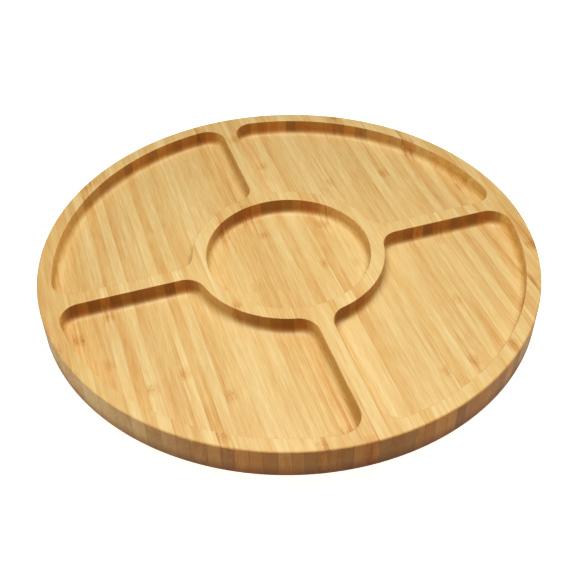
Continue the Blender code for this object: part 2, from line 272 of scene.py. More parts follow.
class Wiring:
    # short calls that add a node, wire its inputs and give back its output

    def __init__(self, tree):
        self.tree = tree

    def add(self, kind, inputs=(), output=0, **settings):
        node = self.tree.nodes.new("ShaderNode" + kind)
        for name, value in settings.items():
            setattr(node, name, value)
        for key, value in dict(inputs).items():
            if isinstance(value, bpy.types.NodeSocket):
                self.tree.links.new(value, node.inputs[key])
            else:
                node.inputs[key].default_value = value
        return node.outputs[output]

    def math(self, operation, first, second=0.0, third=0.0, clamp=False):
        inputs = {0: first, 1: second, 2: third}
        return self.add("Math", inputs, operation=operation, use_clamp=clamp)

    def remap(self, value, low, high, to=(0.0, 1.0), kind="SMOOTHSTEP"):
        inputs = {"Value": value, "From Min": low, "From Max": high, "To Min": to[0], "To Max": to[1]}
        return self.add("MapRange", inputs, interpolation_type=kind, clamp=True)

    def noise(self, place, scale, detail=2.0, roughness=0.5, distortion=0.0):
        inputs = {"Vector": place, "Scale": scale, "Detail": detail, "Roughness": roughness}
        inputs["Distortion"] = distortion
        return self.add("TexNoise", inputs, noise_dimensions="3D")

    def stretched(self, across, along, up, scale, detail=2.0, distortion=0.0):
        # noise drawn out along the fibres: scale is in marks per metre across, along and up
        axes = [self.math("MULTIPLY", axis, size) for axis, size in zip((across, along, up), scale)]
        return self.noise(self.join(*axes), 1.0, detail, 0.55, distortion)

    def mix(self, amount, first, second, blend="MIX"):
        inputs = {"Factor": amount, 6: first, 7: second}
        return self.add("Mix", inputs, 2, data_type="RGBA", blend_type=blend, clamp_factor=True)

    def split(self, vector):
        node = self.tree.nodes.new("ShaderNodeSeparateXYZ")
        self.tree.links.new(vector, node.inputs[0])
        return node.outputs[0], node.outputs[1], node.outputs[2]

    def join(self, across, along, up):
        return self.add("CombineXYZ", {0: across, 1: along, 2: up})

    def tint(self, amount, base, tinted, colour):
        # base turns by the amount into another colour multiplied by a tint
        return self.mix(amount, base, self.mix(1.0, tinted, (*colour, 1), "MULTIPLY"))


def startGroup(name, vectors, colours, numbers):
    # a group with these named inputs, which puts out a colour, a roughness and a height
    group = bpy.data.node_groups.new(name, "ShaderNodeTree")
    sockets = group.interface
    for title in vectors:
        sockets.new_socket(title, in_out="INPUT", socket_type="NodeSocketVector")
    for title in colours:
        sockets.new_socket(title, in_out="INPUT", socket_type="NodeSocketColor")
    for title, value in numbers.items():
        sockets.new_socket(title, in_out="INPUT", socket_type="NodeSocketFloat").default_value = value
    sockets.new_socket("Colour", in_out="OUTPUT", socket_type="NodeSocketColor")
    sockets.new_socket("Roughness", in_out="OUTPUT", socket_type="NodeSocketFloat")
    sockets.new_socket("Height", in_out="OUTPUT", socket_type="NodeSocketFloat")
    given = group.nodes.new("NodeGroupInput").outputs
    result = group.nodes.new("NodeGroupOutput").inputs
    return group, given, result, Wiring(group)


def buildFinish(name, group, groupValues, shaderValues, bumpStrength, bumpDistance):
    # a material that takes its colour, roughness and relief from one of the shared groups
    material, nodes, links, shader = newMaterial(name)
    place = nodes.new("ShaderNodeTexCoord")
    skin = nodes.new("ShaderNodeGroup")
    skin.node_tree = group
    links.new(place.outputs["Object"], skin.inputs["Place"])
    if "Facing" in skin.inputs:
        links.new(place.outputs["Normal"], skin.inputs["Facing"])
    for title, value in groupValues.items():
        skin.inputs[title].default_value = value
    links.new(skin.outputs["Colour"], shader.inputs["Base Color"])
    links.new(skin.outputs["Roughness"], shader.inputs["Roughness"])
    relief = nodes.new("ShaderNodeBump")
    relief.inputs["Strength"].default_value = bumpStrength
    relief.inputs["Distance"].default_value = bumpDistance
    links.new(skin.outputs["Height"], relief.inputs["Height"])
    links.new(relief.outputs["Normal"], shader.inputs["Normal"])
    for title, value in shaderValues.items():
        shader.inputs[title].default_value = value
    return material


# bamboo: strips, fibres, growth nodes and end grain, shared by the tray and the base

bambooSettings = {
    # tone runs from 0, the darkest and most orange bamboo, to 1, the palest
    "plainTone": 0.62,
    "toneColours": (
        (0.0, (0.46, 0.210, 0.055)),
        (0.30, (0.62, 0.335, 0.098)),
        (0.58, (0.71, 0.475, 0.180)),
        (0.85, (0.78, 0.590, 0.270)),
        (1.0, (0.82, 0.650, 0.330)),
    ),
    # how far each pattern changes the tone
    "stripTone": 0.26,
    "longTone": 0.62,
    "fibreTone": 0.42,
    "fleckTone": 0.42,
    "fineFibreTone": 0.30,
    "darkLineTone": -0.12,
    "nodeHaloTone": 0.06,
    "nodeCoreTone": -0.16,
    "nodeRingTone": -0.34,
    "nodeRunTone": -0.30,
    "sideBlotchTone": 0.55,
    # each pattern's marks in a metre: across the strips, along them and up
    "longMarks": (200.0, 11.0, 60.0),
    "fibreMarks": (900.0, 26.0, 420.0),
    "fleckMarks": (1000.0, 85.0, 480.0),
    "fineFibreMarks": (2600.0, 60.0, 1300.0),
    "darkLineMarks": (640.0, 17.0, 300.0),
    "swirlMarks": (330.0, 170.0, 200.0),
    "runMarks": (330.0, 4.0, 60.0),
    # metres from one growth node to the next, and how far a node's outline wanders
    "nodePeriod": 0.21,
    "nodeWobble": 0.010,
    # what multiplies the colour of the redder strips, of cut ends, of the painted shade on the walls and
    # of the outer brink
    "warmTint": (1.0, 0.95, 0.84),
    "endTones": (0.43, 0.77),
    "endGreen": 0.60,
    "endBlue": 0.24,
    "wellSideShadeTint": (0.94, 0.82, 0.58),
    "wellEndShadeTint": (0.78, 0.70, 0.55),
    "brinkLineTint": (0.88, 0.70, 0.50),
    "lowWallShadeTint": (0.50, 0.38, 0.25),
    "lowWallShadeHeight": 0.012,  # metres of the outer wall, from its foot, that the painted shade there fades over
    "glueColour": (0.20, 0.090, 0.025, 1),
    "roughness": 0.44,
    "specular": 0.32,
}


def buildBambooGroup(settings):
    numbers = {
        "Strip Width": 0.0074,
        "Tone Spread": 1.0,
        "Node Strength": 1.0,
        "Edge Radius": 1.0,
        "Low Edge": 0.0,
    }
    group, given, result, w = startGroup("bambooBoard", ("Place", "Facing"), (), numbers)
    across, along, up = w.split(given["Place"])

    # strips: each has its own random numbers, and a glue line at its edge
    stripPlace = w.math("DIVIDE", across, given["Strip Width"])
    cells = {"W": stripPlace, "Scale": 1.0, "Randomness": 0.38}
    stripSeed = w.add("TexVoronoi", cells, "Color", voronoi_dimensions="1D", feature="F1")
    edge = w.add("TexVoronoi", cells, 0, voronoi_dimensions="1D", feature="DISTANCE_TO_EDGE")
    toneSeed, hueSeed, nodeSeed = w.split(stripSeed)
    otherSeed = w.add("TexWhiteNoise", {"Vector": stripSeed}, "Color", noise_dimensions="3D")
    seamSeed, streakSeed, endSeed = w.split(otherSeed)

    # long soft changes along each strip, out of step with its neighbours
    shift = w.math("MULTIPLY", streakSeed, 9.0)
    shifted = w.math("ADD", along, shift)
    longTone = w.stretched(across, shifted, up, settings["longMarks"], 2.0)
    # fibres: fine lines that run along the strip, dots where it is cut across
    fibre = w.stretched(across, shifted, up, settings["fibreMarks"], 3.0)
    fleck = w.stretched(across, shifted, up, settings["fleckMarks"], 2.0)
    fineFibre = w.stretched(across, shifted, up, settings["fineFibreMarks"], 2.0)
    darkLines = w.remap(w.stretched(across, shifted, up, settings["darkLineMarks"], 1.0), 0.66, 0.78)

    # growth nodes: one to a strip in each period, with a darker run on one side
    period = settings["nodePeriod"]
    turns = w.math("ADD", w.math("DIVIDE", along, period), w.math("MULTIPLY", nodeSeed, 7.0))
    fromNode = w.math("MULTIPLY", w.math("SUBTRACT", w.math("FRACT", turns), 0.5), period)
    swirl = w.stretched(across, along, up, settings["swirlMarks"], 2.0, 1.2)
    wobble = w.math("MULTIPLY_ADD", swirl, settings["nodeWobble"], -settings["nodeWobble"] / 2)
    nearNode = w.math("ABSOLUTE", w.math("ADD", fromNode, wobble))
    nodeIndex = w.join(w.math("FLOOR", turns), toneSeed, hueSeed)
    chance = w.add("TexWhiteNoise", {"Vector": nodeIndex}, "Value", noise_dimensions="3D")
    shown = w.math("MULTIPLY", w.remap(chance, 0.12, 0.75), given["Node Strength"])
    core = w.math("MULTIPLY", w.remap(nearNode, 0.0075, 0.0010), shown)
    halo = w.math("MULTIPLY", w.remap(nearNode, 0.018, 0.007), shown)
    bands = w.math("FRACT", w.math("MULTIPLY", swirl, 5.0))
    contour = w.math("ABSOLUTE", w.math("SUBTRACT", bands, 0.5))
    ring = w.math("MULTIPLY", w.remap(contour, 0.16, 0.0), core)
    runLength = w.remap(fromNode, 0.085, 0.004)
    runStart = w.remap(fromNode, -0.030, 0.004)
    runWidth = w.remap(w.stretched(across, shifted, up, settings["runMarks"], 1.0), 0.44, 0.60)
    runReach = w.math("MULTIPLY", runLength, runStart)
    run = w.math("MULTIPLY", runReach, w.math("MULTIPLY", runWidth, shown))

    # how far a surface cuts across the fibres
    faceAcross, faceAlong, faceUp = w.split(given["Facing"])
    endGrain = w.remap(w.math("ABSOLUTE", faceAlong), 0.35, 0.95)
    sideGrain = w.remap(w.math("ABSOLUTE", faceAcross), 0.35, 0.95)

    # tone: patterns that lie round a half are added first, then what the growth nodes add
    plain = settings["plainTone"]
    tone = plain
    for pattern, title in (
        (toneSeed, "stripTone"),
        (longTone, "longTone"),
        (fibre, "fibreTone"),
        (fleck, "fleckTone"),
        (fineFibre, "fineFibreTone"),
    ):
        tone = w.math("MULTIPLY_ADD", w.math("SUBTRACT", pattern, 0.5), settings[title], tone)
    tone = w.math("MULTIPLY_ADD", darkLines, settings["darkLineTone"], tone)
    tone = w.math("MULTIPLY_ADD", w.math("SUBTRACT", tone, plain), given["Tone Spread"], plain)
    for mask, title in (
        (halo, "nodeHaloTone"),
        (core, "nodeCoreTone"),
        (ring, "nodeRingTone"),
        (run, "nodeRunTone"),
    ):
        tone = w.math("MULTIPLY_ADD", mask, settings[title], tone)
    blotch = w.math("MULTIPLY", w.math("SUBTRACT", swirl, 0.5), sideGrain)
    tone = w.math("MULTIPLY_ADD", blotch, settings["sideBlotchTone"], tone, True)
    ramp = group.nodes.new("ShaderNodeValToRGB")
    stops = settings["toneColours"]
    while len(ramp.color_ramp.elements) < len(stops):
        ramp.color_ramp.elements.new(0.5)
    for element, (position, colour) in zip(ramp.color_ramp.elements, stops):
        element.position = position
        element.color = (*colour, 1)
    group.links.new(tone, ramp.inputs[0])
    warmth = w.remap(hueSeed, 0.0, 1.0, (0.0, 0.6))
    warm = w.mix(warmth, ramp.outputs[0], (*settings["warmTint"], 1), "MULTIPLY")

    # end grain drinks the oil: darker and redder, strip by strip
    endTone = w.remap(endSeed, 0.0, 1.0, settings["endTones"], "LINEAR")
    endGreen = w.math("MULTIPLY", endTone, settings["endGreen"])
    endBlue = w.math("MULTIPLY", endTone, settings["endBlue"])
    endShade = w.add("CombineColor", {0: endTone, 1: endGreen, 2: endBlue})
    wood = w.mix(endGrain, warm, w.mix(1.0, warm, endShade, "MULTIPLY"))

    # painted shade: the walls inside the wells are tinted darker and redder, and the outer wall darker
    # towards its foot; the outer brink is tinted warmer and darker towards the front and back
    reach = w.add("VectorMath", {0: w.join(across, along, 0.0)}, "Value", operation="LENGTH")
    atEdge = w.remap(w.math("SUBTRACT", reach, given["Edge Radius"]), -0.0013, -0.0005)
    inside = w.math("SUBTRACT", 1.0, atEdge)
    # painted shade: the walls inside the wells are tinted darker and redder
    wellSideShade = w.math("MULTIPLY", inside, sideGrain)
    wood = w.tint(wellSideShade, wood, wood, settings["wellSideShadeTint"])
    wellEndShade = w.math("MULTIPLY", inside, endGrain)
    wood = w.tint(wellEndShade, wood, wood, settings["wellEndShadeTint"])
    # the outer brink is tinted warmer and darker towards the front and back
    endward = w.remap(w.math("ABSOLUTE", w.math("DIVIDE", along, reach)), 0.45, 0.85)
    brinkLine = w.math("MULTIPLY", w.math("MULTIPLY", atEdge, endward), w.remap(faceUp, 0.05, 0.35))
    wood = w.tint(brinkLine, wood, warm, settings["brinkLineTint"])
    # painted shade: the outer wall is tinted darker towards its foot
    footHeight = w.math("SUBTRACT", up, given["Low Edge"])
    lowWallShade = w.math("MULTIPLY", atEdge, w.remap(footHeight, settings["lowWallShadeHeight"], 0.0))
    wood = w.tint(lowWallShade, wood, wood, settings["lowWallShadeTint"])

    # glue lines: thin, of different strength from strip to strip, plainer in the end grain
    seamLook = w.math("MULTIPLY_ADD", endGrain, 0.35, w.remap(seamSeed, 0.45, 1.0, (0.03, 0.32)))
    seam = w.math("MULTIPLY", w.remap(edge, 0.05, 0.012), seamLook)
    group.links.new(w.mix(seam, wood, settings["glueColour"]), result["Colour"])

    dull = w.math("MULTIPLY_ADD", w.math("SUBTRACT", fibre, 0.5), 0.22, settings["roughness"])
    dull = w.math("MULTIPLY_ADD", core, 0.10, dull)
    group.links.new(w.math("MULTIPLY_ADD", endGrain, 0.10, dull), result["Roughness"])
    relief = w.math("MULTIPLY_ADD", fineFibre, 0.35, w.math("MULTIPLY", fibre, 0.65))
    relief = w.math("MULTIPLY_ADD", seam, -0.6, relief)
    group.links.new(relief, result["Height"])
    return group


bambooBoard = buildBambooGroup(bambooSettings)


def buildBamboo(name, values):
    gloss = {"Specular IOR Level": bambooSettings["specular"]}
    return buildFinish(name, bambooBoard, values, gloss, 0.25, 0.0003)


# tray board

trayLow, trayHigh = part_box("tray_board")
traySettings = {
    "radius": (trayHigh.x - trayLow.x) / 2,
    "top": trayHigh.z,
    "bottom": trayLow.z,
    "wellDepth": 0.012,
    "rimWidth": 0.010,
    "ringOuter": 0.068,
    "ringWidth": 0.010,
    "ribWidth": 0.011,
    "planCorner": 0.014,
    "outerTopRound": 0.0008,
    "outerBottomRound": 0.0015,
    "wellTopRound": 0.0006,
    "wellFloorFillet": 0.005,
    "rimFacets": 288,
    "wellFacets": 160,
    "cornerFacetLength": 0.0009,
    "rimFacetLength": 0.0032,
    "ringFacetLength": 0.0022,
    "roundSteps": 4,
    "filletSteps": 8,
    "pilotRadius": 0.0021,
    "pilotPastTip": 0.0005,
}


def sinkWell(settings):
    # the picked face becomes a well: rounded brink, straight wall, fillet, floor
    brink = settings["wellTopRound"]
    fillet = settings["wellFloorFillet"]
    lastIn, lastDown = 0.0, 0.0
    for step in range(1, settings["roundSteps"] + 1):
        angle = quarterTurn * step / settings["roundSteps"]
        inward, down = brink * math.sin(angle), brink * (1 - math.cos(angle))
        insetDown(inward - lastIn, down - lastDown)
        lastIn, lastDown = inward, down
    wall = settings["wellDepth"] - brink - fillet
    bpy.ops.mesh.extrude_region_move(TRANSFORM_OT_translate={"value": (0, 0, -wall)})
    lastIn, lastDown = 0.0, 0.0
    for step in range(1, settings["filletSteps"] + 1):
        angle = quarterTurn * step / settings["filletSteps"]
        inward, down = fillet * (1 - math.cos(angle)), fillet * math.sin(angle)
        insetDown(inward - lastIn, down - lastDown)
        lastIn, lastDown = inward, down


def swing(centre, sweep, radius, facetLength):
    # swings the picked vertex round a centre on the tray's top, leaving an arc of edges behind it
    steps = max(4, round(abs(sweep) * radius / facetLength))
    middle = (centre[0], centre[1], traySettings["top"])
    bpy.ops.mesh.spin(steps=steps, angle=-sweep, center=middle, axis=(0, 0, 1))


def buildSectorWell(settings, quarter):
    # one vertex is swung and drawn round the plan outline: rim side first, then ring side
    brink = settings["wellTopRound"]
    corner = settings["planCorner"] + brink
    rim = settings["radius"] - settings["rimWidth"] + brink
    ring = settings["ringOuter"] - brink
    offset = settings["ribWidth"] / 2 - brink + corner
    cornerFacet = settings["cornerFacetLength"]
    farAngle = math.asin(offset / (rim - corner))
    nearAngle = math.asin(offset / (ring + corner))
    far = (offset / math.tan(farAngle), offset)
    near = (offset / math.tan(nearAngle), offset)
    piece = startPrimitive(bpy.ops.mesh.primitive_plane_add, f"sectorWell{quarter + 1}", size=0.001)
    bpy.ops.mesh.merge(type="CENTER")
    bpy.ops.transform.translate(value=(far[0], far[1] - corner, settings["top"]))
    swing(far, quarterTurn + farAngle, corner, cornerFacet)
    swing((0, 0), quarterTurn - 2 * farAngle, rim, settings["rimFacetLength"])
    swing((far[1], far[0]), quarterTurn + farAngle, corner, cornerFacet)
    bpy.ops.mesh.extrude_region_move(TRANSFORM_OT_translate={"value": (0, near[0] - far[0], 0)})
    swing((near[1], near[0]), quarterTurn - nearAngle, corner, cornerFacet)
    swing((0, 0), 2 * nearAngle - quarterTurn, ring, settings["ringFacetLength"])
    swing(near, quarterTurn - nearAngle, corner, cornerFacet)
    bpy.ops.mesh.select_all(action="SELECT")
    bpy.ops.mesh.edge_face_add()
    turnUp(piece)
    bpy.ops.transform.rotate(
        value=-quarter * quarterTurn, orient_axis="Z", center_override=(0, 0, settings["top"])
    )
    sinkWell(settings)
    bpy.ops.object.mode_set(mode="OBJECT")
    return piece


def buildCentreWell(settings):
    radius = settings["ringOuter"] - settings["ringWidth"] + settings["wellTopRound"]
    piece = startPrimitive(
        bpy.ops.mesh.primitive_circle_add,
        "centreWell",
        vertices=settings["wellFacets"],
        radius=radius,
        fill_type="NGON",
        location=(0, 0, settings["top"]),
    )
    sinkWell(settings)
    bpy.ops.object.mode_set(mode="OBJECT")
    return piece


def buildTray(settings):
    thickness = settings["top"] - settings["bottom"]
    body = startPrimitive(
        bpy.ops.mesh.primitive_cylinder_add,
        "trayBoard",
        vertices=settings["rimFacets"],
        radius=settings["radius"],
        depth=thickness,
        location=(0, 0, settings["bottom"] + thickness / 2),
    )
    half = thickness / 2
    roundings = ((half, settings["outerTopRound"]), (-half, settings["outerBottomRound"]))
    for height, rounding in roundings:
        pick(body, "edges", edgeLiesAt(height))
        bpy.ops.mesh.bevel(offset=rounding, segments=settings["roundSteps"], profile=0.5)
    for end in (half, -half):
        pick(body, "faces", isLevelAt(end))
        bpy.ops.mesh.delete(type="ONLY_FACE")
    bpy.ops.object.mode_set(mode="OBJECT")
    parts = [buildSectorWell(settings, quarter) for quarter in range(4)]
    parts.append(buildCentreWell(settings))
    pilot = settings["pilotRadius"]
    for screw in trayScrews:
        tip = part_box(screw)[1].z + settings["pilotPastTip"]
        parts.append(openDrilling("trayPilot", middleOf(screw), pilot, settings["bottom"], tip, (-1,)))
    joinPieces([body] + parts)
    # the top is filled between the rim's edge and the brinks of the five wells
    fillLevel(body, settings["top"])
    fillLevel(body, settings["bottom"])
    closeUp()
    return finishPiece(body)


bambooTray = buildBamboo("bambooTray", {
    "Strip Width": 0.0074,
    "Tone Spread": 1.0,
    "Node Strength": 1.0,
    "Edge Radius": traySettings["radius"],
    "Low Edge": traySettings["bottom"],
})
trayBoard = buildTray(traySettings)
standFor(trayBoard, "tray_board", "tray", bambooTray)
print("tray board:", len(trayBoard.data.polygons), "faces")


# metal, nylon and rubber: what plating, moulding and handling leave on a surface

def buildPlatingGroup():
    # plating: a faint crystal mottle, an uneven film of grease and fine drawn marks
    numbers = {"Dullness": 0.3, "Mottle": 0.5, "Film": 0.5}
    group, given, result, w = startGroup("platedSkin", ("Place",), ("Tint",), numbers)
    place = given["Place"]
    crystals = w.add("TexVoronoi", {"Vector": place, "Scale": 620.0}, "Color", feature="F1")
    crystalTone = w.split(crystals)[0]
    cloud = w.noise(place, 95.0, 3.0, 0.6)
    marks = w.noise(place, 3200.0, 2.0, 0.6)
    film = w.math("MULTIPLY", w.remap(w.noise(place, 48.0, 3.0, 0.55, 0.6), 0.46, 0.66), given["Film"])
    tone = w.math("MULTIPLY_ADD", w.math("SUBTRACT", crystalTone, 0.5), given["Mottle"], 1.0)
    tone = w.math("MULTIPLY_ADD", w.math("SUBTRACT", cloud, 0.5), 0.22, tone)
    shaded = w.mix(1.0, given["Tint"], w.add("CombineColor", {0: tone, 1: tone, 2: tone}), "MULTIPLY")
    filmed = w.mix(w.math("MULTIPLY", film, 0.30), shaded, (0.30, 0.25, 0.17, 1))
    group.links.new(filmed, result["Colour"])
    dull = w.math("MULTIPLY_ADD", w.math("SUBTRACT", cloud, 0.5), 0.24, given["Dullness"])
    dull = w.math("MULTIPLY_ADD", w.math("SUBTRACT", marks, 0.5), 0.12, dull)
    group.links.new(w.math("MULTIPLY_ADD", film, 0.12, dull, True), result["Roughness"])
    relief = w.math("MULTIPLY_ADD", crystalTone, 0.4, w.math("MULTIPLY", marks, 0.6))
    group.links.new(relief, result["Height"])
    return group


def buildMouldedGroup():
    # moulded: a fine spark-etched grain, soft tone changes, and dust in specks and soft patches
    numbers = {"Dullness": 0.6, "Grain": 1500.0, "Dust": 0.3}
    group, given, result, w = startGroup("mouldedSkin", ("Place",), ("Tint",), numbers)
    place = given["Place"]
    etched = w.add("TexVoronoi", {"Vector": place, "Scale": given["Grain"]}, "Distance", feature="F1")
    cloud = w.noise(place, 120.0, 3.0, 0.6)
    speck = w.remap(w.noise(place, 1900.0, 2.0, 0.6), 0.60, 0.74)
    settled = w.math("MULTIPLY", w.remap(w.noise(place, 65.0, 4.0, 0.6, 0.4), 0.42, 0.68), given["Dust"])
    tone = w.math("MULTIPLY_ADD", w.math("SUBTRACT", cloud, 0.5), 0.30, 1.0)
    tone = w.math("MULTIPLY_ADD", w.math("SUBTRACT", etched, 0.5), 0.14, tone)
    shaded = w.mix(1.0, given["Tint"], w.add("CombineColor", {0: tone, 1: tone, 2: tone}), "MULTIPLY")
    dusty = w.math("MULTIPLY_ADD", speck, 0.25, w.math("MULTIPLY", settled, 0.40))
    dusty = w.math("MULTIPLY", dusty, given["Dust"])
    group.links.new(w.mix(dusty, shaded, (0.52, 0.48, 0.42, 1)), result["Colour"])
    dull = w.math("MULTIPLY_ADD", w.math("SUBTRACT", cloud, 0.5), 0.20, given["Dullness"])
    group.links.new(w.math("MULTIPLY_ADD", settled, 0.15, dull, True), result["Roughness"])
    relief = w.math("MULTIPLY_ADD", etched, 0.7, w.math("MULTIPLY", cloud, 0.3))
    group.links.new(relief, result["Height"])
    return group


platedSkin = buildPlatingGroup()
mouldedSkin = buildMouldedGroup()
skinSettings = {
    "platedSteel": {"Tint": (0.62, 0.63, 0.65, 1), "Dullness": 0.32, "Mottle": 0.22, "Film": 0.5},
    "ballSteel": {"Tint": (0.78, 0.78, 0.79, 1), "Dullness": 0.12, "Mottle": 0.03, "Film": 0.6},
    "screwSteel": {"Tint": (0.58, 0.56, 0.50, 1), "Dullness": 0.28, "Mottle": 0.12, "Film": 0.3},
    "naturalNylon": {"Tint": (0.83, 0.81, 0.74, 1), "Dullness": 0.42, "Grain": 2200.0, "Dust": 0.35},
    "blackRubber": {"Tint": (0.028, 0.028, 0.028, 1), "Dullness": 0.78, "Grain": 1500.0, "Dust": 0.5},
}


def buildSkin(name, group, metallic, bumpDistance):
    return buildFinish(name, group, skinSettings[name], {"Metallic": metallic}, 0.3, bumpDistance)


platedSteel = buildSkin("platedSteel", platedSkin, 1, 0.00006)
ballSteel = buildSkin("ballSteel", platedSkin, 1, 0.00001)
screwSteel = buildSkin("screwSteel", platedSkin, 1, 0.00003)
naturalNylon = buildSkin("naturalNylon", mouldedSkin, 0, 0.00004)
blackRubber = buildSkin("blackRubber", mouldedSkin, 0, 0.00008)


# base disc: the smaller bamboo board, drilled for its screws and for a screwdriver to reach the tray's

baseLow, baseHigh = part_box("base_disc")
baseSettings = {
    "radius": (baseHigh.x - baseLow.x) / 2,
    "bottom": baseLow.z,
    "top": baseHigh.z,
    "edge": 0.002,
    "edgeSteps": 5,
    "facets": 192,
    "accessRadius": 0.010,
    "accessEdge": 0.0006,
    "platePilotRadius": 0.0021,
    "footPilotRadius": 0.0018,
    "pilotPastTip": 0.0005,
}


def buildBase(settings):
    low, high = settings["bottom"], settings["top"]
    half = (high - low) / 2
    board = startPrimitive(
        bpy.ops.mesh.primitive_cylinder_add,
        "baseDisc",
        vertices=settings["facets"],
        radius=settings["radius"],
        depth=2 * half,
        location=(0, 0, low + half),
    )
    for end in (half, -half):
        pick(board, "edges", edgeLiesAt(end))
        bpy.ops.mesh.bevel(offset=settings["edge"], segments=settings["edgeSteps"], profile=0.5)
        pick(board, "faces", isLevelAt(end))
        bpy.ops.mesh.delete(type="ONLY_FACE")
    bpy.ops.object.mode_set(mode="OBJECT")
    accessPlace = middleOf(trayScrews[0])
    accessReach = settings["accessRadius"]
    parts = [openDrilling("accessHole", accessPlace, accessReach, low, high, (-1, 1), 48)]
    platePilot, footPilot = settings["platePilotRadius"], settings["footPilotRadius"]
    for plateScrew, footScrew in zip(baseScrews, footScrews):
        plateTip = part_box(plateScrew)[0].z - settings["pilotPastTip"]
        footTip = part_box(footScrew)[1].z + settings["pilotPastTip"]
        parts.append(openDrilling("platePilot", middleOf(plateScrew), platePilot, plateTip, high, (1,)))
        parts.append(openDrilling("footPilot", middleOf(footScrew), footPilot, low, footTip, (-1,)))
    joinPieces([board] + parts)
    fillLevel(board, high)
    fillLevel(board, low)
    closeUp()

    def isAccessBrink(edge):
        offset = max((vert.co.xy - accessPlace.xy).length for vert in edge.verts)
        isLevel = edgeLiesAt(low)(edge) or edgeLiesAt(high)(edge)
        return isLevel and offset < accessReach + 1e-4 and edge.calc_length() < 0.002

    pick(board, "edges", isAccessBrink)
    bpy.ops.mesh.bevel(offset=settings["accessEdge"], segments=3, profile=0.5)
    return finishPiece(board)


bambooBase = buildBamboo("bambooBase", {
    "Strip Width": 0.0092,
    "Tone Spread": 1.1,
    "Node Strength": 0.7,
    "Edge Radius": baseSettings["radius"] + 0.01,  # past the disc, so that its own edge gets the wells' painted shade
    "Low Edge": baseSettings["bottom"],
})
baseDisc = buildBase(baseSettings)
standFor(baseDisc, "base_disc", "base", bambooBase)
print("base disc:", len(baseDisc.data.polygons), "faces")


# swivel bearing: two pressed plates, one hooked inside the other, with caged balls between them

bearingSettings = {
    "side": 0.102,
    "cornerRadius": 0.008,
    "sheet": 0.001,
    "holeRadius": 0.0023,
    "raceRadius": 0.040,
    "raceHalf": 0.0035,
    "raceFlank": 0.002,
    "raceRise": 0.0007,
    "raceSteps": 6,
    "bend": 0.0008,
    "edgeRound": 0.00015,
    "facets": 128,
    # the wall inside each race: its radius, how far it reaches and how its rim turns over
    "lowerRim": {"wall": 0.0295, "reach": 0.0046, "turnOver": 0.0021},
    "upperRim": {"wall": 0.0325, "reach": 0.0033, "turnOver": -0.0021},
}


def pressedPath(settings, middle, way, rim):
    # the middle of the sheet from the race's outer foot to the end of its rolled rim
    race, half, flank = settings["raceRadius"], settings["raceHalf"], settings["raceFlank"]
    path = []

    def wave(start, end, low, high, first):
        for step in range(first, settings["raceSteps"] + 1):
            share = step / settings["raceSteps"]
            lift = low + (high - low) * (1 - math.cos(math.pi * share)) / 2
            path.append((start + (end - start) * share, middle + way * settings["raceRise"] * lift, 0))

    wave(race + half + flank, race + half, 0, 1, 0)
    wave(race + half, race, 1, 0, 1)
    wave(race, race - half, 0, 1, 1)
    wave(race - half, race - half - flank, 1, 0, 1)
    rimHeight = middle + way * rim["reach"]
    path.append((rim["wall"], middle, settings["bend"]))
    path.append((rim["wall"], rimHeight, settings["bend"]))
    path.append((rim["wall"] + rim["turnOver"], rimHeight, 0))
    return roundCorners(path)


def buildPlate(settings, name, middle, way, rim, turn, screws):
    # way is 1 for the plate whose race and rim rise, and -1 for the one whose race and rim hang
    path = pressedPath(settings, middle, way, rim)
    plate = turnProfile(name, path, settings["facets"])
    outline = startPrimitive(
        bpy.ops.mesh.primitive_plane_add, "plateOutline", size=settings["side"], location=(0, 0, middle)
    )
    bpy.ops.mesh.bevel(offset=settings["cornerRadius"], segments=8, affect="VERTICES", profile=0.5)
    if turn:
        bpy.ops.mesh.select_all(action="SELECT")
        bpy.ops.transform.rotate(value=turn, orient_axis="Z", center_override=(0, 0, middle))
    bpy.ops.mesh.delete(type="ONLY_FACE")
    bpy.ops.object.mode_set(mode="OBJECT")
    hole = settings["holeRadius"]
    holes = [drawCircle("plateHole", middleOf(screw), hole, middle, 24) for screw in screws]
    joinPieces([plate, outline] + holes)
    fillLevel(plate, middle)
    closeUp()
    bpy.ops.object.mode_set(mode="OBJECT")
    applyModifier(plate, "SOLIDIFY", thickness=settings["sheet"], offset=0, use_even_offset=True)
    softenEdges(plate, settings["edgeRound"])
    return finishPiece(plate)


halfSheet = bearingSettings["sheet"] / 2
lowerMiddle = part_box("bearing_lower_plate")[0].z + halfSheet
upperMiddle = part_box("bearing_upper_plate")[1].z - halfSheet
lowerRim, upperRim = bearingSettings["lowerRim"], bearingSettings["upperRim"]
lowerPlate = buildPlate(bearingSettings, "lowerPlate", lowerMiddle, 1, lowerRim, 0, baseScrews)
upperPlate = buildPlate(
    bearingSettings, "upperPlate", upperMiddle, -1, upperRim, quarterTurn / 2, trayScrews
)
standFor(lowerPlate, "bearing_lower_plate", "base", platedSteel)
standFor(upperPlate, "bearing_upper_plate", "tray", platedSteel)
print("plates:", len(lowerPlate.data.polygons), "and", len(upperPlate.data.polygons), "faces")


# ball cage and balls

ballSettings = {
    "nodes": [f"ball_{number:02d}" for number in range(1, 17)],
    "radius": 0.00238,
    "pocketRadius": 0.00268,
    "profileSteps": 12,
    "facets": 24,
    "pocketFacets": 24,
    "cageFacets": 96,
    "cageEdge": 0.0003,
}
cageLow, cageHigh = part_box("ball_cage")


